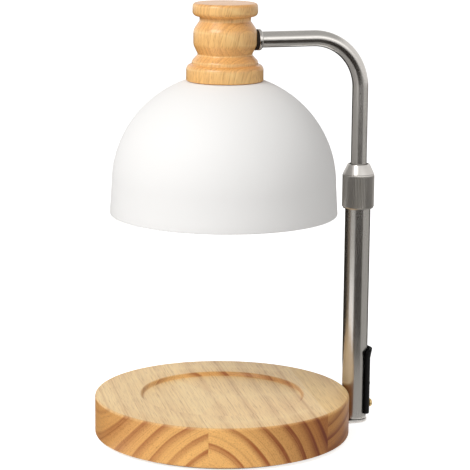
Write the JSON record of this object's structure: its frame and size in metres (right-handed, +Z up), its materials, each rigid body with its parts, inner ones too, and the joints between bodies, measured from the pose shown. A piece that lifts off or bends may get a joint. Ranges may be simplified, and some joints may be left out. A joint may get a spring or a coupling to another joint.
{
  "type": "candle warmer lamp",
  "caption": "Candle warmer lamp: a round wooden base with a recess for a jar, a steel post with a clamp nut, and a bent arm that carries a domed white shade under a turned wooden cap.",
  "frame": {"origin": "centre of the mat's lower face, which the lamp rests on, on the axis of the round base", "axes": "+Z up; +X towards the post, so at rest the arm lies along X with the shade over the base"},
  "size_m": [0.1811, 0.16, 0.272],
  "materials": {
    "wood": "pale honey hardwood, oiled matt, turned and sanded, open grain",
    "white_paint": "matt white powder coat",
    "brushed_steel": "satin nickel plate, finely brushed",
    "zinc_steel": "zinc plated",
    "brass": "bright",
    "black_plastic": "moulded, satin",
    "rubber": "matt",
    "nylon": "natural, moulded",
    "ceramic": "unglazed, smooth",
    "lamp_glass": "clear, mirrored inside the reflector",
    "copper": "bare wire"
  },
  "bodies": {
    "stand": {"nonslip_mat": "rubber", "wood_base": "wood", "foot_strip": "brushed_steel", "strip_screw_1": "zinc_steel", "strip_screw_2": "zinc_steel", "strip_screw_3": "zinc_steel", "post_screw": "zinc_steel", "post_plug": "zinc_steel", "post_tube": "brushed_steel", "cord_cover": "black_plastic", "cord_grommet": "rubber", "cover_screw": "brass", "post_lead": "black_plastic", "post_fitting": "brass"},
    "collet": {"clamp_collet": "nylon"},
    "washer": {"thrust_washer": "zinc_steel"},
    "nut": {"clamp_nut": "brushed_steel"},
    "arm": {"arm_tube": "brushed_steel", "guide_bush": "nylon", "arm_lead": "black_plastic", "rubber_washer": "rubber", "arm_flange": "brushed_steel", "inner_washer": "zinc_steel", "inner_nut": "zinc_steel", "wood_cap": "wood", "shade": "white_paint", "shade_plate": "zinc_steel", "shade_screw_1": "zinc_steel", "shade_screw_2": "zinc_steel", "shade_screw_3": "zinc_steel", "lampholder": "ceramic", "holder_contact_1": "brass", "holder_contact_2": "brass", "lead_core_1": "copper", "lead_core_2": "copper"},
    "bulb": {"bulb_base": "ceramic", "bulb_pin_1": "zinc_steel", "bulb_pin_2": "zinc_steel", "bulb_reflector": "lamp_glass", "bulb_capsule": "lamp_glass", "bulb_lens": "lamp_glass"}
  },
  "joints": [
    {"name": "arm_swing", "type": "hinge", "parent": "stand", "child": "collet", "pos_m": [0.089, 0, 0.1537], "axis": [0, 0, 1], "range_deg": [-170, 170]},
    {"name": "arm_height", "type": "slide", "parent": "collet", "child": "arm", "axis": [0, 0, 1], "range_m": [-0.04, 0.05], "deforming": ["post_lead"]},
    {"name": "nut_lift", "type": "slide", "parent": "stand", "child": "washer", "axis": [0, 0, 1], "range_m": [0, 0.00224]},
    {"name": "nut_turn", "type": "hinge", "parent": "washer", "child": "nut", "pos_m": [0.089, 0, 0.1537], "axis": [0, 0, 1], "range_deg": [0, 540]},
    {"name": "bulb_twist", "type": "hinge", "parent": "arm", "child": "bulb", "pos_m": [0, 0, 0.2165], "axis": [0, 0, 1], "range_deg": [0, 20]}
  ],
  "couplings": [
    {"joint": "nut_turn", "follows": "nut_lift", "rad_per_m": 4188.8}
  ]
}
